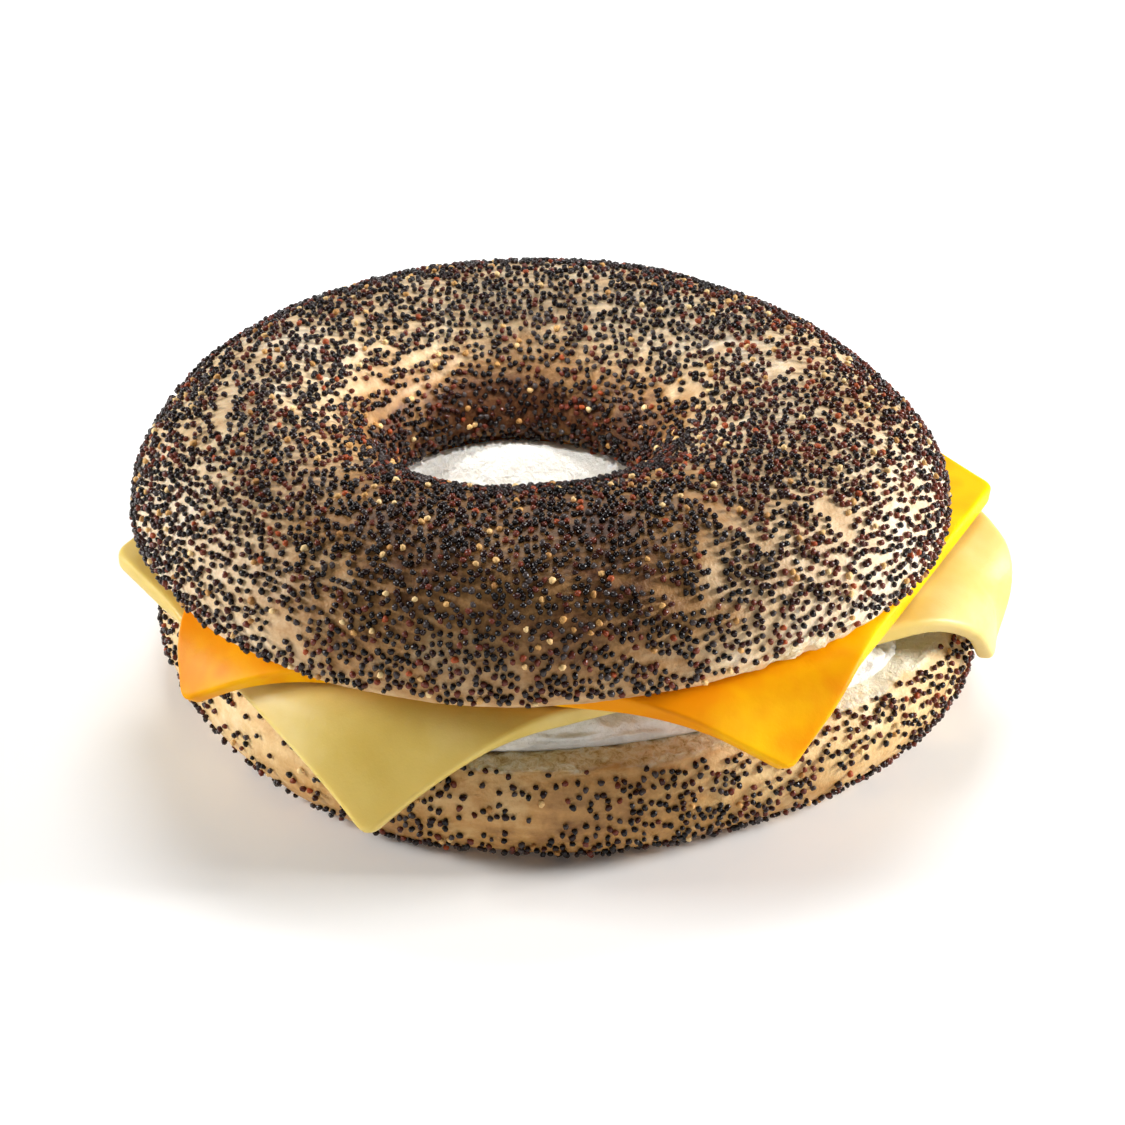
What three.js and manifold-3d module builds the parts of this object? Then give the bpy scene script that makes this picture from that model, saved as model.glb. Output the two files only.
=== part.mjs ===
// A poppy-seed bagel, cut in two and filled with cream cheese, a pale cheese slice and an orange one.
// Millimetres. X runs to the right, Y to the back and Z up from the table.
import * as THREE from "three";
import { mergeVertices } from "three/addons/utils/BufferGeometryUtils.js";
import Module from "manifold-3d";

const wasm = await Module();
wasm.setup();

// Driving dimensions. Radii are the ring's mean ones, before its unevenness is added.
// The crown is the upper half and the heel the lower one.
const crown = {
  outer: 52.4,
  inner: 16.6,
  equator: 29.7,
  top: 43.9,
  cut: 25.2,
  rimEdge: 3.6,
  holeEdge: 6,
};
const heel = {
  outer: 53.1,
  inner: 15.6,
  bulge: 9,
  cut: 15,
  rimInset: 1.9,
  rimDrop: 0.9,
  shoulder: 6,
  footInset: 9,
};
const cream = {
  outer: 43.6,
  inner: 15.8,
  base: 15.2,
  top: 19.2,
  lipTop: 25.9,
  lipLean: 2.2,
  lipShoulder: 24.8,
  lipWidth: 4.2,
  squeeze: 3,
  footInset: 0.8,
  rimRound: 5,
};
const paleSheet = { base: 19.6, thickness: 2.4, hole: 21.6, cornerRadius: 2.2, droopDelay: 0 };
const orangeSheet = { base: 22.35, thickness: 2.6, hole: 21.6, cornerRadius: 1.6, droopDelay: 0.6 };
const seed = {
  diameter: 1,
  height: 0.8,
  sunk: 0.3,
  onCrown: 126,
  onHeel: 64,
  fromCut: 2.2,
  fromTable: 1.4,
};
const bendRadius = 5;
const weld = 1e-4;

// Places, from the axis of the crown.
const crownHole = { x: -2.5, y: 0.7 };
const heelCentre = { x: 3.5, y: 4.4 };
const heelHole = { x: -1.5, y: 0.5 };
const axisFromMiddle = { x: -4.3, y: -1.437 };

// Corners of the slices while they lie flat, anticlockwise from the left one.
const paleCorners = [
  [-55.5, -5],
  [-22.7, -57.7],
  [68, -12.5],
  [50, 38],
  [-30, 43],
];
const orangeCorners = [
  [-46, -35.6],
  [33.2, -49.8],
  [62, 10],
  [43, 40],
  [-33, 41],
];

// Where the slices start to droop, and how steep they get: direction in degrees, radius, steepest fall.
const droop = [
  [-175, 56, 15],
  [-142, 43.6, 58],
  [-111, 44, 60],
  [-85, 44.6, 45],
  [-56, 43.6, 60],
  [-36, 51, 55],
  [-20, 52.6, 95],
  [-9, 54, 85],
  [3, 59.5, 30],
  [12, 62, 10],
  [40, 56, 40],
  [90, 54, 40],
  [127, 54, 40],
  [160, 57, 20],
];

// Slow unevenness round a ring: waves round it, height and phase of each.
const crownWaves = [
  [1, 0.55, -1],
  [2, 0.6, -1.35],
  [3, 1, 1.2],
  [4, 0.7, 0.5],
  [9, 0.12, 1.2],
];
const heelWaves = [
  [2, 2.4, 0.4],
  [3, 1.7, -0.7],
  [5, 0.25, 2.9],
  [8, 0.15, 5],
];
const creamWaves = [
  [3, 0.3, 1.1],
  [5, 0.3, 3.2],
  [7, 0.25, 0.4],
];
const heightWaves = [
  [2, 0.016, 1],
  [3, 0.012, 3.6],
  [5, 0.01, 0.7],
];

// The cream was squeezed further out in one direction, to the right front.
const creamBulge = { direction: -26, reach: 7.4, width: 17 };

const ringSteps = { crown: 52, heel: 52, cream: 44 };
const curveSteps = { crown: 5, heel: 4, cream: 4 };
const goldenAngle = Math.PI * (3 - Math.sqrt(5));

function addWaves(waves, angle) {
  return waves.reduce((sum, [times, height, phase]) => sum + height * Math.cos(times * angle + phase), 0);
}

// Angles in degrees, the short way round.
function turnBetween(from, to) {
  return THREE.MathUtils.euclideanModulo(to - from + 180, 360) - 180;
}

// Radius and steepest fall of the droop in one direction, eased from one listed direction to the next.
function droopAt(angle) {
  const degrees = THREE.MathUtils.radToDeg(angle);
  const next = droop.findIndex(([direction]) => direction > degrees);
  const after = next < 0 ? 0 : next;
  const [fromDirection, fromRadius, fromFall] = droop[(after + droop.length - 1) % droop.length];
  const [toDirection, toRadius, toFall] = droop[after];
  const span = THREE.MathUtils.euclideanModulo(toDirection - fromDirection, 360);
  const part = THREE.MathUtils.euclideanModulo(degrees - fromDirection, 360) / span;
  const eased = THREE.MathUtils.smoothstep(part, 0, 1);
  return {
    radius: THREE.MathUtils.lerp(fromRadius, toRadius, eased),
    fall: THREE.MathUtils.degToRad(THREE.MathUtils.lerp(fromFall, toFall, eased)),
  };
}

// A flat point of a slice, laid over the pile: it bends round the droop's edge and then falls straight.
// The upper slice starts to bend a little further out, so that it lies clear of the lower one.
function drape(x, y, height, sheet) {
  const angle = Math.atan2(y, x);
  const listed = droopAt(angle);
  const fall = listed.fall;
  const radius = listed.radius + sheet.droopDelay;
  const bend = bendRadius + height - paleSheet.base;
  const middleBend = bendRadius + sheet.base + sheet.thickness / 2 - paleSheet.base;
  const past = Math.max(0, Math.hypot(x, y) - radius);
  const turned = Math.min(past / middleBend, fall);
  const straight = past - turned * middleBend;
  const out = past > 0 ? radius + bend * Math.sin(turned) + straight * Math.cos(turned) : Math.hypot(x, y);
  const z = height - bend * (1 - Math.cos(turned)) - straight * Math.sin(turned);
  return new THREE.Vector3(out * Math.cos(angle), out * Math.sin(angle), z);
}

// A closed ring from a closed profile of radius and height, each vertex then moved by a rule.
function ringGeometry(profile, steps, move) {
  const closed = [...profile, profile[0].clone()];
  const ring = new THREE.LatheGeometry(closed, steps).rotateX(Math.PI / 2);
  const position = ring.getAttribute("position");
  for (let i = 0; i < position.count; i += 1) {
    const x = position.getX(i);
    const y = position.getY(i);
    const moved = move(Math.hypot(x, y), Math.atan2(y, x), position.getZ(i), Math.floor(i / closed.length));
    position.setXYZ(i, moved.x, moved.y, moved.z);
  }
  ring.deleteAttribute("normal");
  ring.deleteAttribute("uv");
  return mergeVertices(ring, weld);
}

// Moves a profile point onto an uneven ring whose hole and whose rim have centres of their own.
function ontoRing(size, hole, centre, rimRadius, radius, angle) {
  const across = (radius - size.inner) / (size.outer - size.inner);
  const direction = new THREE.Vector2(Math.cos(angle), Math.sin(angle));
  const inside = direction.clone().multiplyScalar(size.inner).add(hole);
  const outside = direction.clone().multiplyScalar(rimRadius).add(centre);
  return inside.lerp(outside, across);
}

// The crust of the crown, from the outer cut edge over the top to the cut edge in the hole.
function crownCrust() {
  const { outer, inner, equator, top, cut, rimEdge, holeEdge } = crown;
  const crust = new THREE.Path();
  crust.moveTo(outer - rimEdge, cut);
  crust.bezierCurveTo(outer - rimEdge * 0.2, cut, outer, cut + rimEdge * 0.8, outer, equator);
  crust.absellipse((outer + inner) / 2, equator, (outer - inner) / 2, top - equator, 0, Math.PI, false);
  crust.bezierCurveTo(inner, cut + holeEdge * 0.5, inner + holeEdge * 0.3, cut, inner + holeEdge, cut);
  return crust;
}

function ontoCrown(radius, angle, height) {
  const rim = crown.outer + addWaves(crownWaves, angle);
  const spot = ontoRing(crown, crownHole, { x: 0, y: 0 }, rim, radius, angle);
  const rise = Math.max(0, height - crown.equator) * addWaves(heightWaves, angle);
  return new THREE.Vector3(spot.x, spot.y, height + rise);
}

// The crust of the heel, from the crumb's shoulder in the hole, under the foot, to the outer shoulder.
function heelCrust() {
  const { outer, inner, bulge, cut, rimInset, rimDrop, shoulder, footInset } = heel;
  const rim = cut - rimDrop;
  const crust = new THREE.Path();
  crust.moveTo(inner + shoulder, cut);
  crust.lineTo(inner + rimInset, rim);
  crust.quadraticCurveTo(inner, (rim + bulge) / 2, inner, bulge);
  crust.bezierCurveTo(inner, bulge * 0.3, inner + footInset * 0.4, 0, inner + footInset, 0);
  crust.lineTo(outer - footInset, 0);
  crust.bezierCurveTo(outer - footInset * 0.4, 0, outer, bulge * 0.3, outer, bulge);
  crust.quadraticCurveTo(outer, (rim + bulge) / 2, outer - rimInset, rim);
  crust.lineTo(outer - shoulder, cut);
  return crust;
}

function ontoHeel(radius, angle, height) {
  const rim = heel.outer + addWaves(heelWaves, angle);
  const spot = ontoRing(heel, heelHole, heelCentre, rim, radius, angle);
  return new THREE.Vector3(spot.x, spot.y, height);
}

function toSolid(geometry) {
  const vertProperties = new Float32Array(geometry.getAttribute("position").array);
  const triVerts = new Uint32Array(geometry.index.array);
  return new wasm.Manifold(new wasm.Mesh({ numProp: 3, vertProperties, triVerts }));
}

function toGeometry(solid) {
  const mesh = solid.getMesh();
  const geometry = new THREE.BufferGeometry();
  geometry.setAttribute("position", new THREE.BufferAttribute(mesh.vertProperties, 3));
  geometry.setIndex(new THREE.BufferAttribute(mesh.triVerts, 1));
  return geometry;
}

// One poppy seed, half sunk in the crust, with its flatter way along the crust's normal.
function seedSolid(spot, normal, spin) {
  const geometry = new THREE.IcosahedronGeometry(seed.diameter / 2, 0);
  geometry.deleteAttribute("normal");
  geometry.deleteAttribute("uv");
  geometry.rotateZ(spin).scale(1, 1, seed.height / seed.diameter);
  geometry.translate(0, 0, seed.height / 2 - seed.sunk);
  const upright = new THREE.Vector3(0, 0, 1);
  geometry.applyQuaternion(new THREE.Quaternion().setFromUnitVectors(upright, normal));
  geometry.translate(spot.x, spot.y, spot.z);
  return toSolid(mergeVertices(geometry, weld));
}

// Seeds spread evenly over a crust: the golden angle round the ring, equal areas across it.
function seedsOn(crust, onto, count, allowed) {
  const strips = 200;
  const stepAlong = 0.002;
  const stepRound = 0.01;
  const radii = Array.from({ length: strips }, (_, i) => crust.getPoint((i + 0.5) / strips).x);
  const total = radii.reduce((sum, radius) => sum + radius, 0);
  const seeds = [];
  let strip = 0;
  let passed = radii[0];
  for (let i = 0; i < count; i += 1) {
    while (passed < (total * (i + 0.5)) / count && strip < strips - 1) {
      strip += 1;
      passed += radii[strip];
    }
    const along = (strip + 0.5) / strips;
    const angle = THREE.MathUtils.euclideanModulo(i * goldenAngle + Math.PI, 2 * Math.PI) - Math.PI;
    const at = (t, turn) => {
      const point = crust.getPoint(t);
      return onto(point.x, turn, point.y);
    };
    const spot = at(along, angle);
    const across = at(along + stepAlong, angle).sub(at(along - stepAlong, angle));
    const round = at(along, angle + stepRound).sub(at(along, angle - stepRound));
    const normal = new THREE.Vector3().crossVectors(round, across).normalize();
    if (allowed(spot)) seeds.push(seedSolid(spot, normal, i));
  }
  return seeds;
}

function crownGeometry() {
  const points = crownCrust().getPoints(curveSteps.crown);
  const body = toSolid(ringGeometry(points, ringSteps.crown, ontoCrown));
  const clearOfCut = (spot) => spot.z > crown.cut + seed.fromCut;
  const seeds = seedsOn(new THREE.Path(points), ontoCrown, seed.onCrown, clearOfCut);
  return toGeometry(wasm.Manifold.union([body, ...seeds]));
}

function heelGeometry() {
  const points = heelCrust().getPoints(curveSteps.heel);
  const body = toSolid(ringGeometry(points, ringSteps.heel, ontoHeel));
  const onTheSide = (spot) => spot.z > seed.fromTable && spot.z < heel.cut - seed.fromCut;
  const seeds = seedsOn(new THREE.Path(points), ontoHeel, seed.onHeel, onTheSide);
  return toGeometry(wasm.Manifold.union([body, ...seeds]));
}

// Cream cheese spread on the heel, with a soft side. It is squeezed into the hole at its foot and
// leans back from there to a lip under the crown.
function creamGeometry() {
  const { outer, inner, base, top, lipTop, lipShoulder, footInset, rimRound } = cream;
  const foot = inner + footInset;
  const crest = inner + cream.lipLean;
  const lipEdge = inner + cream.lipWidth;
  const roundedFrom = outer - rimRound;
  const rimFoot = outer - footInset;
  const profile = new THREE.Path();
  profile.moveTo(foot, base);
  profile.bezierCurveTo(foot - cream.squeeze, base + 2.4, crest - 2, lipTop, crest, lipTop);
  profile.bezierCurveTo(crest + 0.6, lipTop, lipEdge - 0.8, lipShoulder, lipEdge, lipShoulder);
  profile.lineTo(lipEdge, top);
  profile.lineTo(roundedFrom, top);
  profile.bezierCurveTo(roundedFrom + 3, top, rimFoot + 1.4, base + 1.6, rimFoot, base);
  const onto = (radius, angle, height) => {
    const turn = turnBetween(creamBulge.direction, THREE.MathUtils.radToDeg(angle)) / creamBulge.width;
    const rim = outer + addWaves(creamWaves, angle) + creamBulge.reach * Math.exp(-turn * turn);
    const spot = ontoRing(cream, crownHole, { x: 0, y: 0 }, rim, radius, angle);
    return new THREE.Vector3(spot.x, spot.y, height);
  };
  return ringGeometry(profile.getPoints(curveSteps.cream).toReversed(), ringSteps.cream, onto);
}

// The outline of a slice: straight sides in a few steps, and each corner rounded in three points.
function outline(corners, cornerRadius, sideSteps) {
  const points = [];
  const vertices = corners.map(([x, y]) => new THREE.Vector2(x, y));
  vertices.forEach((corner, i) => {
    const before = vertices[(i + vertices.length - 1) % vertices.length];
    const after = vertices[(i + 1) % vertices.length];
    const entry = corner.clone().add(before.clone().sub(corner).setLength(cornerRadius));
    const exit = corner.clone().add(after.clone().sub(corner).setLength(cornerRadius));
    const rounded = new THREE.QuadraticBezierCurve(entry, corner, exit);
    points.push(entry, rounded.getPoint(0.5));
    const nextEntry = after.clone().add(corner.clone().sub(after).setLength(cornerRadius));
    for (let step = 0; step < sideSteps; step += 1) {
      points.push(exit.clone().lerp(nextEntry, step / sideSteps));
    }
  });
  return points;
}

// A cheese slice with an open middle: a flat ring of rings, stretched to its outline and then draped.
function sliceGeometry(sheet, corners) {
  const sideSteps = 8;
  const rings = [0, 0.45, 0.62, 0.72, 0.8, 0.87, 0.94, 1];
  const rim = outline(corners, sheet.cornerRadius, sideSteps);
  const top = sheet.base + sheet.thickness;
  const lower = rings.map((part) => new THREE.Vector2(1 + part, sheet.base));
  const upper = rings.toReversed().map((part) => new THREE.Vector2(1 + part, top));
  const onto = (radius, angle, height, step) => {
    const edge = rim[step % rim.length];
    const toEdge = new THREE.Vector2(edge.x - crownHole.x, edge.y - crownHole.y);
    const inside = toEdge.clone().setLength(sheet.hole).add(crownHole);
    const spot = inside.lerp(edge, radius - 1);
    return drape(spot.x, spot.y, height, sheet);
  };
  return ringGeometry([...lower, ...upper], rim.length, onto);
}

const materials = {
  crownCrust: new THREE.MeshStandardMaterial({ color: "#8a6a4c", roughness: 0.7, metalness: 0 }),
  heelCrust: new THREE.MeshStandardMaterial({ color: "#cdb48a", roughness: 0.75, metalness: 0 }),
  cream: new THREE.MeshStandardMaterial({ color: "#f4f1e8", roughness: 0.45, metalness: 0 }),
  pale: new THREE.MeshStandardMaterial({ color: "#e2d68c", roughness: 0.35, metalness: 0 }),
  orange: new THREE.MeshStandardMaterial({ color: "#f7a311", roughness: 0.35, metalness: 0 }),
};

function piece(name, geometry, material) {
  const mesh = new THREE.Mesh(geometry, material);
  mesh.name = name;
  return mesh;
}

const bagel = new THREE.Group();
bagel.add(
  piece("bagel_bottom", heelGeometry(), materials.heelCrust),
  piece("cream_cheese", creamGeometry(), materials.cream),
  piece("pale_slice", sliceGeometry(paleSheet, paleCorners), materials.pale),
  piece("orange_slice", sliceGeometry(orangeSheet, orangeCorners), materials.orange),
  piece("bagel_top", crownGeometry(), materials.crownCrust),
);
bagel.position.set(axisFromMiddle.x, axisFromMiddle.y, 0);

export default bagel;
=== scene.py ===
import math

import bmesh
import bpy
import numpy as np
from mathutils import Matrix, Vector, noise
from mathutils.bvhtree import BVHTree


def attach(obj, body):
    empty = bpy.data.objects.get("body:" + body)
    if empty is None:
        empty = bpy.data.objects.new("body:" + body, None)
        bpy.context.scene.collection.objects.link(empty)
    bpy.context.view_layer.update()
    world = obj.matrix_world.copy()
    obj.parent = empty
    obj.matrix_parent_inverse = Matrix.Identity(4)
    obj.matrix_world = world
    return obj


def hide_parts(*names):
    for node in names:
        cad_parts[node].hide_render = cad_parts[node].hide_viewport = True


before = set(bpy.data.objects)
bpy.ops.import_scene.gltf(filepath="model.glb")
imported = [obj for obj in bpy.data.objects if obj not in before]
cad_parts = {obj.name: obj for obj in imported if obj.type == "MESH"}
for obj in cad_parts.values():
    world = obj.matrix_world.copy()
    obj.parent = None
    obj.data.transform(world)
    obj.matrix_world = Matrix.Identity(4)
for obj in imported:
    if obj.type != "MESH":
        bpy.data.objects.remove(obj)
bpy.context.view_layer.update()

mm = 0.001
scene = bpy.context.scene
photoSide = 1125  # pixels

# The bagel's shapes are worked out in millimetres round the axis of the upper half, the crown.
# The lower half is the heel. This is where that axis stands in the part's frame.
axisSpot = Vector((-4.3, -1.437, 0))


def hexColour(text):
    # sRGB hex to the linear colour that the shaders work in
    parts = [int(text[i:i + 2], 16) / 255 for i in (1, 3, 5)]
    linear = [p / 12.92 if p <= 0.04045 else ((p + 0.055) / 1.055) ** 2.4 for p in parts]
    return (*linear, 1)


def smooth(share):
    share = np.clip(share, 0, 1)
    return share * share * (3 - 2 * share)


# camera
view = {
    "elevation": math.radians(27.85),  # above the table
    "roll": math.radians(0.69),
    "distance": 435 * mm,  # to the middle of the crown
    "crownMiddle": 30 * mm,  # its height over the table
    "lens": 105.4, "film": 36,  # millimetres
    "aimRight": 3.6 * mm,  # the photo's middle, from the middle of the crown
    "aimUp": -10.7 * mm,
}


def addCamera():
    rise, run = math.sin(view["elevation"]), math.cos(view["elevation"])
    middle = Vector((axisSpot.x * mm, axisSpot.y * mm, view["crownMiddle"]))
    spot = middle + view["distance"] * Vector((0, -run, rise))
    aim = middle + Vector((view["aimRight"], 0, 0)) + view["aimUp"] * Vector((0, rise, run))
    data = bpy.data.cameras.new("photoCamera")
    data.lens = view["lens"]
    data.clip_start = 0.01
    camera = bpy.data.objects.new("photoCamera", data)
    scene.collection.objects.link(camera)
    turn = (aim - spot).to_track_quat("-Z", "Y").to_matrix() @ Matrix.Rotation(view["roll"], 3, "Z")
    camera.matrix_world = Matrix.Translation(spot) @ turn.to_4x4()
    scene.camera = camera
    return camera


camera = addCamera()
print("camera done")


def seenSpot(tree, pixel):
    # the point of a surface that the photo shows at a pixel
    reach = view["lens"] / view["film"] * photoSide
    across, down = pixel[0] - photoSide / 2, pixel[1] - photoSide / 2
    direction = camera.matrix_world.to_3x3() @ Vector((across / reach, -down / reach, -1))
    return tree.ray_cast(camera.matrix_world.translation, direction.normalized())[0]


# shapes shared by the rings
def addWaves(waves, angle):
    return sum(height * np.cos(times * angle + phase) for times, height, phase in waves)


def bezier(start, pullA, pullB, end, count):
    # points along a curve, without its last one
    t = np.linspace(0, 1, count, endpoint=False)[:, None]
    start, pullA, pullB, end = map(np.array, (start, pullA, pullB, end))
    curve = (1 - t) ** 3 * start + 3 * (1 - t) ** 2 * t * pullA
    return curve + 3 * (1 - t) * t * t * pullB + t ** 3 * end


def straight(start, end, count):
    t = np.linspace(0, 1, count, endpoint=False)[:, None]
    return (1 - t) * np.array(start) + t * np.array(end)


def spinRing(name, profile, steps):
    # a closed profile of radius and height, spun once round the axis
    bm = bmesh.new()
    verts = [bm.verts.new((radius, 0, height)) for radius, height in profile]
    edges = [bm.edges.new((vert, verts[(i + 1) % len(verts)])) for i, vert in enumerate(verts)]
    bmesh.ops.spin(bm, geom=verts + edges, cent=(0, 0, 0), axis=(0, 0, 1), dvec=(0, 0, 0),
                   angle=2 * math.pi, steps=steps, use_merge=True)
    bmesh.ops.remove_doubles(bm, verts=bm.verts, dist=1e-4)
    bmesh.ops.recalc_face_normals(bm, faces=bm.faces)
    for face in bm.faces:
        face.smooth = True
    mesh = bpy.data.meshes.new(name)
    bm.to_mesh(mesh)
    bm.free()
    piece = bpy.data.objects.new(name, mesh)
    scene.collection.objects.link(piece)
    return piece


def readSpots(piece):
    spots = np.empty(len(piece.data.vertices) * 3)
    piece.data.vertices.foreach_get("co", spots)
    return spots.reshape(-1, 3)


def writeSpots(piece, spots):
    piece.data.vertices.foreach_set("co", np.ascontiguousarray(spots).ravel())
    piece.data.update()


def readNormals(piece):
    normals = np.empty(len(piece.data.vertices) * 3)
    piece.data.vertex_normals.foreach_get("vector", normals)
    return normals.reshape(-1, 3)


def markPoints(piece, name, values):
    mark = piece.data.attributes.new(name, "FLOAT", "POINT")
    mark.data.foreach_set("value", np.ascontiguousarray(values, dtype=np.float32))


def markVectors(piece, name, values):
    mark = piece.data.attributes.new(name, "FLOAT_VECTOR", "POINT")
    mark.data.foreach_set("vector", np.ascontiguousarray(values, dtype=np.float32).ravel())


def readVectors(piece, name):
    values = np.empty(len(piece.data.vertices) * 3, np.float32)
    piece.data.attributes[name].data.foreach_get("vector", values)
    return values.reshape(-1, 3)


def ringPlace(profile, flat):
    # Dough is rolled into a rope before it is closed to a ring, so its skin is stretched round the ring.
    # This place changes slowly round the ring and quickly across it, without a seam.
    steps = np.linalg.norm(np.diff(profile, axis=0), axis=1)
    along = np.concatenate([[0], np.cumsum(steps)])
    radius, angle = polar(flat)
    across = np.stack([radius, flat[:, 2]], 1)
    batches = np.array_split(across, 40)  # to spare memory
    nearest = np.concatenate([((batch[:, None] - profile[None]) ** 2).sum(2).argmin(1) for batch in batches])
    length, width = dough["streakLength"], dough["streakWidth"]
    turn = dough["ringRadius"] / length
    return np.stack([turn * np.cos(angle), turn * np.sin(angle), along[nearest] / width], 1)


def unevenness(spots, size, shift):
    # soft noise from -1 to 1 whose lumps are about as wide as size, in millimetres
    return np.array([noise.noise(Vector(spot) / size + Vector((shift, shift, shift))) for spot in spots])


def addLumps(lumps, spots):
    # layers of noise: width and height in millimetres, and a shift that sets each layer apart
    return sum(tall * unevenness(spots, wide, shift) for wide, tall, shift in lumps)


def nearDirection(angle, towards, width):
    # 1 towards a direction round the ring, 0 away from it
    turn = (angle - towards) / width
    return np.exp(-turn * turn)


def treeOf(piece):
    return BVHTree.FromObject(piece, bpy.context.evaluated_depsgraph_get())


def finishPlace(piece):
    # from millimetres round the crown's axis to metres in the part's frame
    writeSpots(piece, (readSpots(piece) + np.array(axisSpot)) * mm)


def polar(spots):
    return np.hypot(spots[:, 0], spots[:, 1]), np.arctan2(spots[:, 1], spots[:, 0])


def ontoRing(size, hole, centre, rim, radius, angle):
    # a hole and a rim that have centres of their own, with the dough stretched between them
    across = (radius - size["inner"]) / (size["outer"] - size["inner"])
    turned = np.stack([np.cos(angle), np.sin(angle)], 1)
    inside = turned * size["inner"] + np.array(hole)
    outside = turned * np.reshape(rim, (-1, 1)) + np.array(centre)
    return inside * (1 - across[:, None]) + outside * across[:, None]


# node trees
def addNode(tree, kind, settings=None, links=None):
    node = tree.nodes.new(kind)
    for key, value in (settings or {}).items():
        if isinstance(key, int) or key in node.inputs:
            node.inputs[key].default_value = value
        else:
            setattr(node, key, value)
    for key, source in (links or {}).items():
        tree.links.new(source, node.inputs[key])
    return node


def startMaterial(name):
    material = bpy.data.materials.new(name)
    material.use_nodes = True
    material.node_tree.nodes.clear()
    return material, material.node_tree


def setRamp(ramp, stops):
    elements = ramp.color_ramp.elements
    while len(elements) > len(stops):
        elements.remove(elements[-1])
    while len(elements) < len(stops):
        elements.new(0.5)
    for element, (place, colour) in zip(elements, stops):
        element.position = place
        element.color = hexColour(colour)


def perMetre(size):
    # the Scale of a pattern whose cells are size millimetres wide
    return 1 / (size * mm)


# the stretched skin that both halves have: sizes in millimetres
dough = {"ringRadius": 36, "streakLength": 8, "streakWidth": 1.7}

# the crown: the seeded upper half
crown = {
    "outer": 52.4, "inner": 16.6, "equator": 29.7, "top": 43.9, "cut": 25.2,
    "rimEdge": 3.6, "holeEdge": 6,
    "hole": (-2.5, 0.7),
    "waves": [(1, 0.55, -1), (2, 0.6, -1.35), (3, 1, 1.2), (4, 0.7, 0.5), (9, 0.12, 1.2)],
    "heightWaves": [(2, 0.016, 1), (3, 0.012, 3.6), (5, 0.01, 0.7)],
    "steps": 420,
    "lumps": [(21, 0.42, 21), (9, 0.24, 9), (4.2, 0.1, 4.2), (1.9, 0.05, 1.9)],
    "streaks": 0.16, "lumpShare": 0.9, "inset": 0.1,
    # the cut face: how far it reaches up the edges, half its width, and its pits
    "cutReach": 1.5, "cutHalfWidth": 17, "cutFade": 3,
    "pitWidth": 2.2, "pitDepth": 0.25, "pitMean": 0.2,
    # where the knife tore the lower rim: direction, width round the ring, how torn the rest is
    "tornTowards": math.radians(-47), "tornWidth": math.radians(11), "tornLeast": 0.15,
    "tornHeight": 2, "tornRise": 3.6, "tornFrom": 44, "tornFade": 3,
    "flakes": [(2.6, 0.5, 14), (1.3, 0.6, 15)],
    "bareWidth": 2.2, "bareShare": 0.2,
    # the seeds begin this far over the cut, and further up where it is torn
    "seedsFrom": 1.4, "seedsRise": 1.6, "seedsFade": 1.2,
    # bare creases where the rope's ends were pinched together: photo pixels, width, depth, paleness
    "creases": [
        ([(354, 392), (378, 384)], 0.8, 0.08, 0.35),
        ([(366, 424), (388, 410), (402, 396)], 0.75, 0.2, 0.35),
        ([(402, 396), (440, 376), (462, 358)], 0.6, 0.25, 0.4),
        ([(384, 432), (392, 462)], 0.6, 0.12, 0.3),
        ([(404, 366), (436, 346)], 0.7, 0.1, 0.4),
        ([(690, 496), (722, 516), (762, 542)], 0.7, 0.1, 0.1),
        ([(706, 537), (716, 570), (708, 606)], 0.9, 0.05, 0.1),
        ([(616, 578), (660, 590), (694, 604)], 0.7, 0.05, 0.1),
        ([(672, 388), (676, 394)], 1.0, 0.08, 0.4),
        ([(708, 348), (726, 341)], 0.9, 0.08, 0.4),
        ([(828, 508), (846, 530)], 1.6, 0.06, -0.3),
        ([(776, 339), (786, 336)], 0.7, 0.05, 0.3),
        ([(604, 642), (690, 668)], 0.7, 0.05, 0.05),
    ],
}


def creaseShare(tree, spots):
    # 1 in the middle of a crease, 0 away from it; how deep it lies and how pale it is; in millimetres
    share, depth, pale = (np.zeros(len(spots)) for i in range(3))
    for pixels, width, deep, light in crown["creases"]:
        points = [np.array(seenSpot(tree, pixel)) / mm for pixel in pixels]
        for start, end in zip(points, points[1:]):
            run = end - start
            part = np.clip(((spots - start) @ run) / (run @ run), 0, 1)
            away = np.linalg.norm(spots - start - part[:, None] * run, axis=1)
            near = np.exp(-(away / width) ** 2)
            pale = np.where(near > share, near * light, pale)
            share, depth = np.maximum(share, near), np.maximum(depth, near * deep)
    return share, depth, pale


def crownProfile():
    outer, inner, equator, cut = crown["outer"], crown["inner"], crown["equator"], crown["cut"]
    rimEdge, holeEdge = crown["rimEdge"], crown["holeEdge"]
    middle, halfWidth = (outer + inner) / 2, (outer - inner) / 2
    turns = np.linspace(0, math.pi, 78, endpoint=False)
    over = np.stack([middle + halfWidth * np.cos(turns),
                     equator + (crown["top"] - equator) * np.sin(turns)], 1)
    rimSide = bezier((outer - rimEdge, cut), (outer - rimEdge * 0.2, cut),
                     (outer, cut + rimEdge * 0.8), (outer, equator), 12)
    holeSide = bezier((inner, equator), (inner, cut + holeEdge * 0.5),
                      (inner + holeEdge * 0.3, cut), (inner + holeEdge, cut), 14)
    under = straight((inner + holeEdge, cut), (outer - rimEdge, cut), 14)
    return np.concatenate([rimSide, over, holeSide, under])


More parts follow.
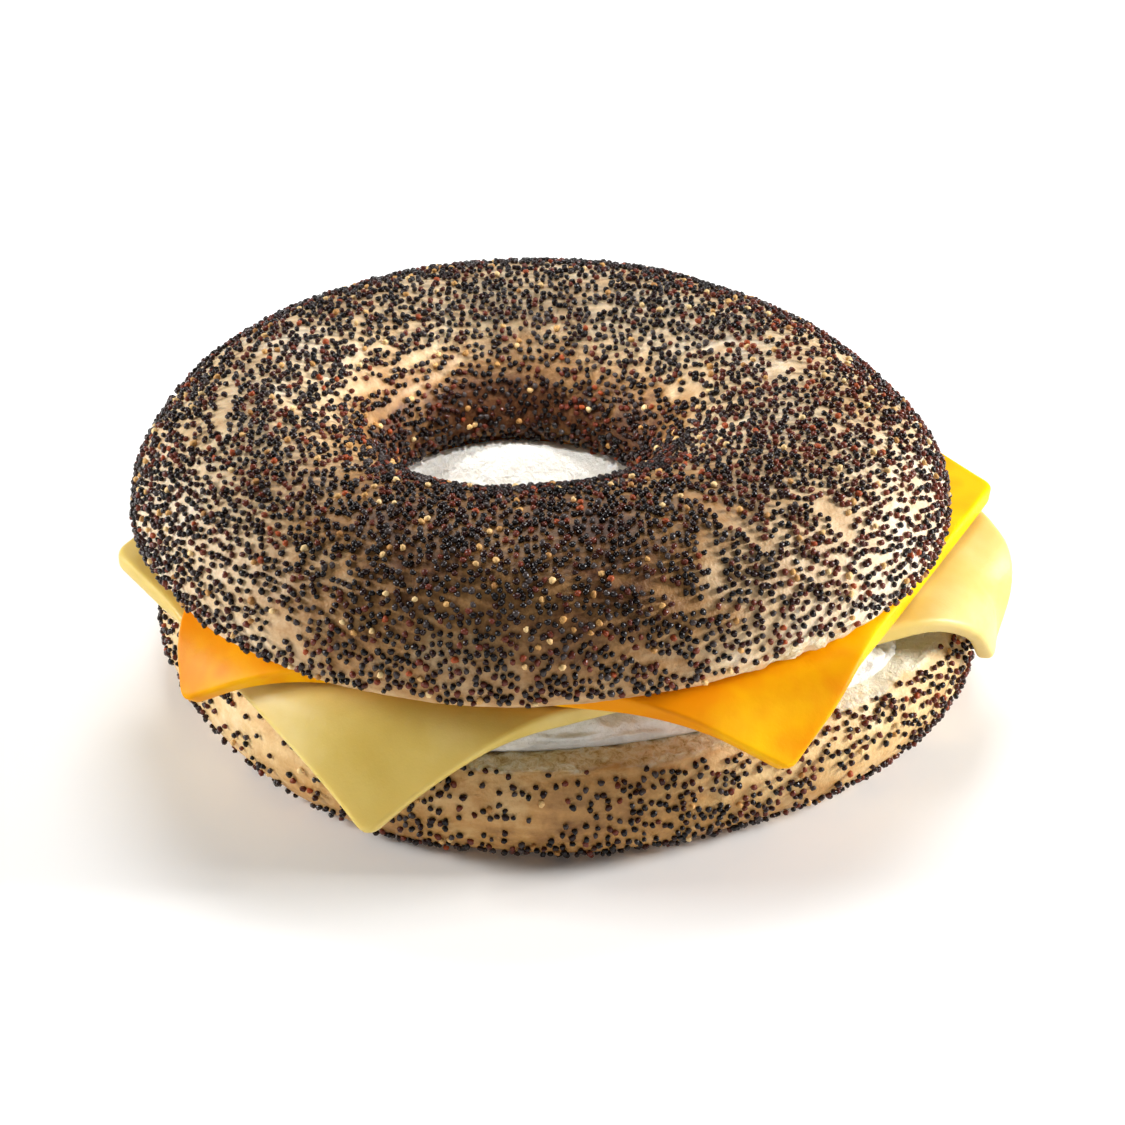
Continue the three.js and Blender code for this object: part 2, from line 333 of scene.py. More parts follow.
def makeCrown():
    profile = crownProfile()
    piece = spinRing("crown_crust", profile, crown["steps"])
    flat = readSpots(piece)
    place = ringPlace(profile, flat)
    radius, angle = polar(flat)
    height = flat[:, 2]
    rim = crown["outer"] + addWaves(crown["waves"], angle)
    swell = addWaves(crown["heightWaves"], angle)
    spots = np.empty_like(flat)
    spots[:, :2] = ontoRing(crown, crown["hole"], (0, 0), rim, radius, angle)
    spots[:, 2] = height + np.clip(height - crown["equator"], 0, None) * swell
    writeSpots(piece, spots)
    normals = readNormals(piece)
    relief = addLumps(crown["lumps"], spots)
    relief += crown["streaks"] * unevenness(place, 1.0, 3)
    middle = (crown["outer"] + crown["inner"]) / 2
    onCut = smooth((crown["cut"] + crown["cutReach"] - height) / crown["cutReach"])
    onCut *= smooth((crown["cutHalfWidth"] - abs(radius - middle)) / crown["cutFade"])
    pits = crown["pitDepth"] * unevenness(spots, crown["pitWidth"], 5) - crown["pitMean"]
    pits = onCut * np.abs(pits)
    # the torn rim stands up in flakes, and the crumb shows between them
    least, fade = crown["tornLeast"], crown["tornFade"]
    tornHere = least + (1 - least) * nearDirection(angle, crown["tornTowards"], crown["tornWidth"])
    tornTop = crown["cut"] + crown["tornHeight"] + crown["tornRise"] * tornHere
    torn = tornHere * smooth((tornTop - height) / fade) * smooth((radius - crown["tornFrom"]) / fade)
    flakes = torn * addLumps(crown["flakes"], spots)
    push = relief * (1 - onCut) * crown["lumpShare"] - crown["inset"] - pits * (1 - torn) + flakes
    spots += normals * push[:, None]
    bare = crown["bareShare"]
    bared = smooth(torn * 2) * smooth((unevenness(spots, crown["bareWidth"], 16) + bare) / bare)
    writeSpots(piece, spots)
    finishPlace(piece)
    depth, pale = creaseShare(treeOf(piece), readSpots(piece) / mm)[1:]
    writeSpots(piece, readSpots(piece) - readNormals(piece) * (depth * mm)[:, None])
    markPoints(piece, "crumbShare", np.maximum(onCut, bared))
    markPoints(piece, "paleCreasesAndPaintedLight", pale)
    markVectors(piece, "ringPlace", place)
    return piece


crownPiece = makeCrown()
print("crown done")

# the heel: the lower half, with its torn crumb edge
heel = {
    "outer": 53.1, "inner": 15.6, "bulge": 9, "cut": 15, "rimInset": 1.9, "rimDrop": 0.9,
    "shoulder": 6, "footInset": 9,
    "centre": (3.5, 4.4), "hole": (-1.5, 0.5),
    "waves": [(2, 2.4, 0.4), (3, 1.7, -0.7), (5, 0.25, 2.9), (8, 0.15, 5)],
    "steps": 360,
    "lumps": [(18, 0.3, 18), (7, 0.16, 7), (2.5, 0.06, 2.5)],
    "streaks": 0.12,
    "tear": [(3.2, 0.55, 2), (1.3, 0.3, 6)], "tearDepth": 0.15,
    # the ragged line between crust and crumb
    "ragged": [(5.5, 0.55, 3), (1.8, 0.35, 8)], "raggedShare": 0.9, "crustGap": 0.1, "crustFade": 0.5,
    "footHeight": 1.2,
    # painted light: the crumb is painted whiter towards this side, where the lamp lights it
    "paintedLightTowards": math.radians(-22), "paintedLightWidth": math.radians(24), "paintedLightMost": 0.8,
    # the seeds end this far below the rim, and thin out on the foot
    "seedsBelow": 0.8, "footSeeds": 0.25, "footSeedsFrom": 0.4, "footSeedsFade": 1.5,
}


def heelProfile():
    outer, inner, bulge, cut = heel["outer"], heel["inner"], heel["bulge"], heel["cut"]
    rim, inset = cut - heel["rimDrop"], heel["rimInset"]
    shoulder, foot = heel["shoulder"], heel["footInset"]
    corners = []
    for side, edge in ((1, inner), (-1, outer)):
        # one wall, from the crumb's shoulder down to the foot
        middleHeight = (rim + bulge) / 2
        wall = [
            bezier((edge + side * shoulder, cut), (edge + side * (inset + 2.4), cut),
                   (edge + side * (inset + 0.8), rim + 0.6), (edge + side * inset, rim), 10),
            bezier((edge + side * inset, rim), (edge + side * inset * 0.35, middleHeight + 0.9),
                   (edge, middleHeight - 0.9), (edge, bulge), 14),
            bezier((edge, bulge), (edge, bulge * 0.3),
                   (edge + side * foot * 0.4, 0), (edge + side * foot, 0), 20),
        ]
        corners.append(np.concatenate(wall + [np.array([[edge + side * foot, 0]])]))
    hole, side = corners
    base = straight(hole[-1], side[-1], 16)[1:]
    top = straight(side[0], hole[0], 30)[1:]
    return np.concatenate([hole, base, side[::-1], top])


def makeHeel():
    profile = heelProfile()
    piece = spinRing("heel_bread", profile, heel["steps"])
    flat = readSpots(piece)
    place = ringPlace(profile, flat)
    radius, angle = polar(flat)
    rim = heel["outer"] + addWaves(heel["waves"], angle)
    spots = flat.copy()
    spots[:, :2] = ontoRing(heel, heel["hole"], heel["centre"], rim, radius, angle)
    writeSpots(piece, spots)
    normals = readNormals(piece)
    ragged = addLumps(heel["ragged"], spots) * heel["raggedShare"]
    crustTop = heel["cut"] - heel["rimDrop"] - heel["crustGap"] + ragged
    crumb = smooth((flat[:, 2] - crustTop) / heel["crustFade"])
    onFoot = smooth((heel["footHeight"] - flat[:, 2]) / heel["footHeight"])
    relief = addLumps(heel["lumps"], spots)
    relief += heel["streaks"] * unevenness(place, 1.0, 3)
    torn = addLumps(heel["tear"], spots) - heel["tearDepth"]
    hidden = smooth((44 - radius) / 4) * smooth((radius - 20) / 3)  # under the cream the cut stays even
    push = relief * (1 - onFoot) * (1 - crumb) + crumb * (1 - hidden) * torn
    spots += normals * push[:, None]
    writeSpots(piece, spots)
    markPoints(piece, "crumbShare", crumb)
    # painted light: the crumb is made whiter towards the lit side
    pale = heel["paintedLightMost"] * crumb * nearDirection(angle, heel["paintedLightTowards"], heel["paintedLightWidth"])
    markPoints(piece, "paleCreasesAndPaintedLight", pale)
    markVectors(piece, "ringPlace", place)
    finishPlace(piece)
    return piece


heelPiece = makeHeel()
print("heel done")

# the cream cheese, spread on the heel
cream = {
    "outer": 43.6, "inner": 15.8, "base": 15.2, "top": 19.2,
    "lipTop": 26.45, "lipLean": 2.5, "lipShoulder": 24.8, "lipWidth": 4.2, "squeeze": 3, "footInset": 0.8,
    "waves": [(3, 0.3, 1.1), (5, 0.3, 3.2), (7, 0.25, 0.4)],
    "bulgeDirection": math.radians(-24), "bulgeReach": 7.2, "bulgeWidth": math.radians(19),
    "steps": 460,
    # the knife leaves long, low ridges that run round the ring, and the squeezed side has soft folds
    "ridgeTurns": 5, "ridgeAcross": 0.55, "ridgeUp": 0.9, "ridgeMean": 0.6,
    "foldWidth": 6, "foldShare": 0.8, "lipHeight": 0.3,
    "curds": [(2.4, 0.35, 5), (1.2, 0.15, 6)], "curdShare": 1.5,
    # where it bulges it is torn into short, sharp ridges: width and height of these and of the grit on them
    "serration": (3, 1.7), "grit": (1.5, 0.7), "bulgeInset": 0.5,
}


def creamProfile():
    outer, inner, base, top = cream["outer"], cream["inner"], cream["base"] - 0.35, cream["top"]
    lipTop, lipShoulder = cream["lipTop"], cream["lipShoulder"]
    foot, crest, lipEdge = inner + cream["footInset"], inner + cream["lipLean"], inner + cream["lipWidth"]
    rimFoot = outer - cream["footInset"]
    return np.concatenate([
        bezier((foot, base), (foot - cream["squeeze"], base + 2.4),
               (crest - 2, lipTop), (crest, lipTop), 26),
        bezier((crest, lipTop), (crest + 0.6, lipTop),
               (lipEdge - 0.8, lipShoulder), (lipEdge, lipShoulder), 8),
        straight((lipEdge, lipShoulder), (lipEdge, top), 8),
        straight((lipEdge, top), (outer - 5, top), 22),
        bezier((outer - 5, top), (outer - 2, top), (rimFoot + 1.4, base + 1.6), (rimFoot, base), 22),
        straight((rimFoot, base), (foot, base), 10),
    ])


def makeCream():
    piece = spinRing("cream_cheese_spread", creamProfile()[::-1], cream["steps"])
    flat = readSpots(piece)
    radius, angle = polar(flat)
    bulging = nearDirection(angle, cream["bulgeDirection"], cream["bulgeWidth"])
    rim = cream["outer"] + addWaves(cream["waves"], angle) + cream["bulgeReach"] * bulging
    spots = flat.copy()
    spots[:, :2] = ontoRing(cream, crown["hole"], (0, 0), rim, radius, angle)
    writeSpots(piece, spots)
    normals = readNormals(piece)
    turns, mean = cream["ridgeTurns"], cream["ridgeMean"]
    across = radius * cream["ridgeAcross"] + flat[:, 2] * cream["ridgeUp"]
    stretched = np.stack([turns * np.cos(angle), turns * np.sin(angle), across], 1)
    ridges = 1 - 2 * np.abs(unevenness(stretched, 1.0, 4))
    folds = unevenness(spots, cream["foldWidth"], 9)
    outside = (ridges - mean) + cream["foldShare"] * folds
    outside += cream["curdShare"] * addLumps(cream["curds"], spots)
    sharpWidth, sharpHeight = cream["serration"]
    gritWidth, gritHeight = cream["grit"]
    serrated = sharpHeight * (1 - 2 * np.abs(unevenness(spots, sharpWidth, 17)) - mean)
    serrated += gritHeight * unevenness(spots, gritWidth, 18) - cream["bulgeInset"]
    outside += bulging * smooth((radius - 32) / 6) * serrated
    outerSide = smooth((radius - 36) / 4)
    lip = smooth((22 - radius) / 3)
    push = outerSide * outside + lip * cream["lipHeight"] * unevenness(spots, 5, 12)
    push *= smooth((flat[:, 2] - cream["base"] + 0.3) / 1.2)
    spots += normals * push[:, None]
    writeSpots(piece, spots)
    finishPlace(piece)
    return piece


creamPiece = makeCream()
print("cream done")

# the two cheese slices
paleSlice = {
    "base": 19.6, "thickness": 2.4, "hole": 21.6, "cornerRadius": 2.2,
    "droopDelay": 0, "droopBlend": 0,
    "corners": [(-55.5, -5), (-22.7, -57.7), (68, -12.5), (50, 38), (-30, 43)],
    "edgeRound": 0.8,
    "ripple": (17, 0.5),  # width and height of its softest waves
}
orangeSlice = {
    "base": 22.35, "thickness": 2.6, "hole": 21.6, "cornerRadius": 1.6,
    "droopDelay": 0.6, "droopBlend": 11,
    "corners": [(-46, -35.6), (33.2, -49.8), (62, 10), (43, 40), (-33, 41)],
    "edgeRound": 0.6,
    "ripple": (15, 0.35),
}
bendRadius, rippleFade = 5, 6
sideSteps, cornerSteps = 46, 10
# where the slices start to droop, and how steep they get: direction in degrees, radius, steepest fall
droop = np.array([
    (-175, 56, 15), (-142, 43.6, 58), (-111, 44, 60), (-85, 44.6, 45), (-56, 43.6, 60),
    (-36, 51, 55), (-20, 52.6, 95), (-9, 54, 85), (3, 59.5, 30), (12, 62, 10), (40, 56, 40),
    (90, 54, 40), (127, 54, 40), (160, 57, 20),
])


def listedDroop(degrees):
    # eased from one listed direction to the next
    degrees = (degrees + 180) % 360 - 180
    listed = np.concatenate([droop[-1:] - (360, 0, 0), droop, droop[:1] + (360, 0, 0)])
    after = np.searchsorted(listed[:, 0], degrees, side="right")
    before = listed[after - 1]
    following = listed[after]
    eased = smooth((degrees - before[:, 0]) / (following[:, 0] - before[:, 0]))
    radius = before[:, 1] + (following[:, 1] - before[:, 1]) * eased
    fall = before[:, 2] + (following[:, 2] - before[:, 2]) * eased
    return np.stack([radius, np.radians(fall)])


def droopAt(angle, blend):
    # a stiffer slice follows the droop's mean over some degrees to each side
    weights = ((-1, 0.1), (-0.5, 0.25), (0, 0.3), (0.5, 0.25), (1, 0.1))
    return sum(weight * listedDroop(np.degrees(angle) + side * blend) for side, weight in weights)


def drape(spots, height, sheet):
    # a flat slice bends round the droop's edge and then falls straight
    reach, angle = polar(spots)
    radius, fall = droopAt(angle, sheet["droopBlend"])
    radius = radius + sheet["droopDelay"]
    bend = bendRadius + height - paleSlice["base"]
    middleBend = bendRadius + sheet["base"] + sheet["thickness"] / 2 - paleSlice["base"]
    past = np.clip(reach - radius, 0, None)
    turned = np.minimum(past / middleBend, fall)
    rest = past - turned * middleBend
    out = np.where(past > 0, radius + bend * np.sin(turned) + rest * np.cos(turned), reach)
    down = bend * (1 - np.cos(turned)) + rest * np.sin(turned)
    return np.stack([out * np.cos(angle), out * np.sin(angle), height - down], 1)


def sliceOutline(sheet):
    # straight sides with rounded corners, as many points as the ring has steps
    corners = [Vector(corner) for corner in sheet["corners"]]
    points = []
    for i, corner in enumerate(corners):
        before, after = corners[i - 1], corners[(i + 1) % len(corners)]
        entry = corner + (before - corner).normalized() * sheet["cornerRadius"]
        leave = corner + (after - corner).normalized() * sheet["cornerRadius"]
        nextEntry = after + (corner - after).normalized() * sheet["cornerRadius"]
        pullA, pullB = entry.lerp(corner, 2 / 3), leave.lerp(corner, 2 / 3)
        points.append(bezier(entry, pullA, pullB, leave, cornerSteps))
        points.append(straight(leave, nextEntry, sideSteps))
    return np.concatenate(points)


def sliceProfile(sheet):
    # radius 1 is the slice's open middle and 2 its outline; the outer edge is softly rounded
    low, high, soft = sheet["base"], sheet["base"] + sheet["thickness"], sheet["edgeRound"]
    reach = 34  # millimetres from the middle to the outline, about
    edge = 2 - soft / reach
    # closer towards the outline, where the slice bends
    inward = np.concatenate([[1, 1.2, 1.4, 1.5], np.linspace(1.56, edge - 0.01, 34)])
    quarter = np.linspace(0, math.pi / 2, 5)
    below = [(edge + soft / reach * math.sin(t), low + soft * (1 - math.cos(t))) for t in quarter]
    above = [(edge + soft / reach * math.cos(t), high - soft * (1 - math.sin(t))) for t in quarter]
    under = [(part, low) for part in inward]
    over = [(part, high) for part in inward[::-1]]
    return np.array(under + below + above + over)


def makeSlice(name, sheet):
    rim = sliceOutline(sheet)
    piece = spinRing(name, sliceProfile(sheet), len(rim))
    flat = readSpots(piece)
    radius, angle = polar(flat)
    step = np.round(angle / (2 * math.pi) * len(rim)).astype(int) % len(rim)
    edge = rim[step]
    toEdge = edge - np.array(crown["hole"])
    inside = toEdge / np.linalg.norm(toEdge, axis=1)[:, None] * sheet["hole"] + np.array(crown["hole"])
    share = (radius - 1)[:, None]
    spots = inside * (1 - share) + edge * share
    wide, tall = sheet["ripple"]
    ground = np.concatenate([spots, np.zeros((len(spots), 1))], 1)
    reach = np.hypot(spots[:, 0], spots[:, 1])
    start = droopAt(np.arctan2(spots[:, 1], spots[:, 0]), sheet["droopBlend"])[0]
    loose = smooth((reach - start) / rippleFade)
    draped = drape(spots, flat[:, 2], sheet)
    wave = tall * unevenness(ground, wide, sheet["base"]) * loose
    middleHeight = np.full(len(spots), sheet["base"] + sheet["thickness"] / 2)
    upright = drape(spots, middleHeight + 1, sheet) - drape(spots, middleHeight, sheet)
    writeSpots(piece, draped + upright * wave[:, None])
    finishPlace(piece)
    return piece


palePiece = makeSlice("pale_cheese_slice", paleSlice)
orangePiece = makeSlice("orange_cheese_slice", orangeSlice)
print("slices done")

# poppy seeds
seeds = {
    "length": 1.0, "width": 0.8, "height": 0.76,  # millimetres
    "sunk": 0.2, "piled": 0.24, "lean": 0.45,
    "sizes": (0.96, 0.09, 0.7, 1.16),  # mean, spread, smallest and largest
    "dimple": 0.34, "bend": 0.7, "bendBack": 0.08, "taper": 0.3,  # of a ball that is 1 across
    "kinds": ["black", "slate", "brown", "russet", "tan"],
    # how much of each kind: the flanks have more of the brown ones, the right flank most
    "middleShares": [0.36, 0.36, 0.21, 0.03, 0.04],
    "leftShares": [0.38, 0.2, 0.34, 0.045, 0.035],
    "rightShares": [0.2, 0.05, 0.63, 0.085, 0.035],
    "flank": (14, 40),  # where the flanks begin and where they are full, from the crown's axis
}
random = np.random.default_rng(7)


def seedShape():
    # a small kidney of 42 triangles, with a dimple
    bm = bmesh.new()
    bmesh.ops.create_uvsphere(bm, u_segments=7, v_segments=4, radius=0.5)
    for vert in bm.verts:
        if vert.co.z > 0.45:
            vert.co.z = seeds["dimple"]
        vert.co.y += seeds["bend"] * vert.co.x ** 2 - seeds["bendBack"]
        vert.co.y *= 1 - seeds["taper"] * vert.co.x
    bmesh.ops.triangulate(bm, faces=bm.faces)
    bm.verts.ensure_lookup_table()
    spots = np.array([vert.co[:] for vert in bm.verts])
    faces = np.array([[vert.index for vert in face.verts] for face in bm.faces])
    bm.free()
    return spots * (seeds["length"], seeds["width"], seeds["height"]), faces


def sowSeeds(crust, tree, plan, where):
    # evenly drawn points on a crust, kept where the sowing is thick and none is too near
    mesh = crust.data
    corners, areas = np.empty(len(mesh.loops), int), np.empty(len(mesh.polygons))
    mesh.loops.foreach_get("vertex_index", corners)
    mesh.polygons.foreach_get("area", areas)
    corners = np.sort(corners.reshape(-1, 4), axis=1)
    order = np.lexsort(corners.T)  # the spin stores its faces in a new order in every run
    corners, areas = corners[order], areas[order]
    wanted, spacing = plan["tries"], plan["spacing"]
    spots, normals, places = readSpots(crust) / mm, readNormals(crust), readVectors(crust, "ringPlace")
    drawn = random.choice(len(corners), size=wanted, p=areas / areas.sum())
    shares = random.dirichlet(np.ones(4), wanted)[:, :, None]
    ofPoints = (spots, normals, places)
    picked, facing, place = ((values[corners[drawn]] * shares).sum(1) for values in ofPoints)
    chance = thickness(plan, tree, picked, place) * where(picked - np.array(axisSpot))
    keep = random.random(wanted) < chance
    picked, facing = picked[keep], facing[keep]
    taken, chosen = {}, []
    for i, spot in enumerate(picked):
        cell = tuple((spot // spacing).astype(int))
        near = [j for x in (-1, 0, 1) for y in (-1, 0, 1) for z in (-1, 0, 1)
                for j in taken.get((cell[0] + x, cell[1] + y, cell[2] + z), ())]
        if all(((picked[j] - spot) ** 2).sum() > spacing ** 2 for j in near):
            taken.setdefault(cell, []).append(i)
            chosen.append(i)
    facing = facing[chosen]
    return picked[chosen], facing / np.linalg.norm(facing, axis=1)[:, None]


def joinSeeds(name, spots, normals, sink):
    # every seed of a kind in one mesh, each turned, sized and toned by its own draw
    shape, faces = seedShape()
    count = len(spots)
    spin = random.random(count) * 2 * math.pi
    up = normals + random.normal(0, seeds["lean"], (count, 3))
    up /= np.linalg.norm(up, axis=1)[:, None]
    helper = np.where(np.abs(up[:, 2:3]) > 0.9, [[1.0, 0, 0]], [[0, 0, 1.0]])
    side = np.cross(helper, up)
    side /= np.linalg.norm(side, axis=1)[:, None]
    front = np.cross(up, side)
    right = side * np.cos(spin)[:, None] + front * np.sin(spin)[:, None]
    ahead = np.cross(up, right)
    mean, spread, smallest, largest = seeds["sizes"]
    size = np.clip(random.normal(mean, spread, count), smallest, largest)[:, None, None]
    local = shape[None] * size
    points = (local[:, :, 0:1] * right[:, None] + local[:, :, 1:2] * ahead[:, None]
              + local[:, :, 2:3] * up[:, None])
    raised = seeds["height"] / 2 - seeds["sunk"] - sink[:, None]
    raised = raised + random.random((count, 1)) * seeds["piled"]
    points = (points + (spots + normals * raised)[:, None]) * mm
    mesh = bpy.data.meshes.new(name)
    mesh.vertices.add(count * len(shape))
    mesh.vertices.foreach_set("co", points.ravel())
    allFaces = (faces[None] + (np.arange(count) * len(shape))[:, None, None]).reshape(-1, 3)
    mesh.loops.add(allFaces.size)
    mesh.loops.foreach_set("vertex_index", allFaces.ravel())
    mesh.polygons.add(len(allFaces))
    mesh.polygons.foreach_set("loop_start", np.arange(0, allFaces.size, 3))
    mesh.polygons.foreach_set("use_smooth", np.ones(len(allFaces), bool))
    mesh.update(calc_edges=True)
    mesh.validate()
    piece = bpy.data.objects.new(name, mesh)
    scene.collection.objects.link(piece)
    markPoints(piece, "tone", np.repeat(random.random(count), len(shape)))
    return piece


def blotches(tree, spots, patches):
    # thicker or thinner sowing round points in the photo: pixel, width in millimetres, change
    total = np.zeros(len(spots))
    for pixel, width, change in patches:
        middle = np.array(seenSpot(tree, pixel)) / mm
        total += change * np.exp(-((spots - middle) ** 2).sum(1) / width ** 2)
    return total


sowing = {"leastStreaks": 0.12, "driftWidth": 11, "least": 0.06}  # on both halves
crownSowing = {
    "tries": 74000, "spacing": 0.73, "mean": 0.64, "streaks": 1.0, "drifts": 0.3,
    "evenTowards": (40, -18), "evenReach": 30,  # the right flank is sown evenly, without streaks
    "patches": [
        ((675, 562), 5, 1.3), ((690, 540), 4, 1.2), ((830, 540), 5, -0.2), ((905, 480), 12, -0.25),
        ((350, 360), 7, 0.15), ((660, 395), 5, -0.2), ((190, 590), 7, 0.1), ((790, 350), 9, -0.3),
        ((740, 640), 5, -0.1), ((560, 420), 12, 0.6), ((420, 430), 7, 0.5), ((800, 600), 8, 0.25),
        ((560, 300), 12, 0.3), ((190, 500), 12, 0.15), ((460, 330), 8, 0.15), ((440, 510), 14, 0.35),
        ((560, 510), 14, 0.5), ((560, 580), 14, 0.4), ((460, 600), 12, 0.2), ((680, 480), 10, 0.35),
        ((640, 680), 5, -0.1), ((800, 450), 9, 0.3),
    ],
}
heelSowing = {
    "tries": 28000, "spacing": 0.77, "mean": 0.52, "streaks": 0.9, "drifts": 0.7,
    "evenTowards": (48, -14), "evenReach": 20,
    "patches": [
        ((520, 795), 8, -0.25), ((880, 730), 14, 0.15), ((950, 670), 10, 0.3), ((430, 805), 6, 0.4),
        ((680, 800), 12, 0.35), ((560, 838), 10, 0.4), ((240, 740), 9, -0.55), ((300, 770), 7, -0.4),
        ((760, 800), 9, 0.35),
    ],
}


def thickness(plan, tree, spots, place):
    # seeds stick in short streaks that run round the ring, thicker in some drifts than in others
    away = np.linalg.norm(spots[:, :2] - np.array(axisSpot)[:2] - plan["evenTowards"], axis=1)
    least = sowing["leastStreaks"]
    streaks = plan["streaks"] * (least + (1 - least) * smooth(away / plan["evenReach"]))
    share = plan["mean"] + streaks * unevenness(place, 1.0, 11)
    drifts = plan["drifts"] * unevenness(spots, sowing["driftWidth"], 7)
    share += drifts + blotches(tree, spots, plan["patches"])
    return np.clip(share, sowing["least"], 1)


def crownWhere(local):
    # none on the cut face and the torn rim, and few in the creases
    bare = creaseShare(crownTree, local + np.array(axisSpot))[0]
    radius, angle = polar(local)
    tornHere = nearDirection(angle, crown["tornTowards"], crown["tornWidth"])
    lowest = crown["cut"] + crown["seedsFrom"] + crown["seedsRise"] * tornHere * smooth((radius - 40) / 4)
    return smooth((local[:, 2] - lowest) / crown["seedsFade"]) * smooth(1 - 1.6 * bare)


def heelWhere(local):
    # the side is seeded, the foot only here and there, the crumb not at all
    below = smooth((heel["cut"] - heel["seedsBelow"] - local[:, 2]) / heel["seedsBelow"])
    least = heel["footSeeds"]
    foot = least + (1 - least) * smooth((local[:, 2] - heel["footSeedsFrom"]) / heel["footSeedsFade"])
    return below * foot


def addSeeds(prefix, crust, tree, plan, where, sinkAt):
    spots, normals = sowSeeds(crust, tree, plan, where)
    draw = random.random(len(spots))
    begin, full = seeds["flank"]
    across = spots[:, 0:1] - axisSpot.x
    flank = smooth((np.abs(across) - begin) / (full - begin))
    flankShares = np.where(across < 0, seeds["leftShares"], seeds["rightShares"])
    shares = np.array(seeds["middleShares"]) * (1 - flank) + flankShares * flank
    chosen = (draw[:, None] > np.cumsum(shares, axis=1)).sum(1)
    pieces = []
    for i, kind in enumerate(seeds["kinds"]):
        mine = chosen == i
        name = f"{prefix}_{kind}_seeds"
        pieces.append(joinSeeds(name, spots[mine], normals[mine], sinkAt(spots[mine])))
    print(prefix, "seeds:", len(spots))
    return pieces


crownTree = treeOf(crownPiece)
crownSeeds = addSeeds("crown", crownPiece, crownTree, crownSowing, crownWhere,
                      lambda spots: np.zeros(len(spots)))
# those under the heel are pressed into it
heelSeeds = addSeeds("heel", heelPiece, treeOf(heelPiece), heelSowing, heelWhere,
                     lambda spots: 0.5 * smooth((1.4 - spots[:, 2]) / 1.2))

# Bread crust: boiled, then baked dough. A thin, tight skin with a dull shine, pale beige where the
# rope was stretched and golden where it browned, in streaks that run round the ring.
crustLook = {
    "crown": ["#f0dfc6", "#dabc92", "#aa7d49", "#643c1d"],
    "heel": ["#f3e0b8", "#e2c088", "#be8e50", "#85592c"],
    "patch": 15, "mottle": 2.6, "wrinkle": 0.9,  # millimetres
    "strengths": (0.8, 0.6, 0.35),  # of the patches, the mottle and the streaks
    "holeReach": (24, 17),  # millimetres from the hole's axis, where its browning begins and is full
    # the middle of the front that is painted browner and darker, partly as painted shade, from the crown's
    # axis, and how far it reaches
    "shadedFrontSpot": (-4, -46), "shadedFrontReach": (48, 16),
}
# how much each half browned: at its lowest and highest, and besides in the hole; and how much the front is
# painted browner and darker, partly as painted shade
bakes = {
    "crown": {"heights": (26, 43), "browning": (0.12, 0.4), "hole": 0.8, "front": 0.5},
    "heel": {"heights": (0, 14), "browning": (0.55, 0.32), "hole": 0.2, "front": 0.3},
}
# Bread crumb: torn open, dry and matt, full of small bubbles.
crumbLook = {"light": "#f6ecd2", "middle": "#e6d3a6", "deep": "#bf9f6a", "bubble": 1.1, "grain": 0.45}


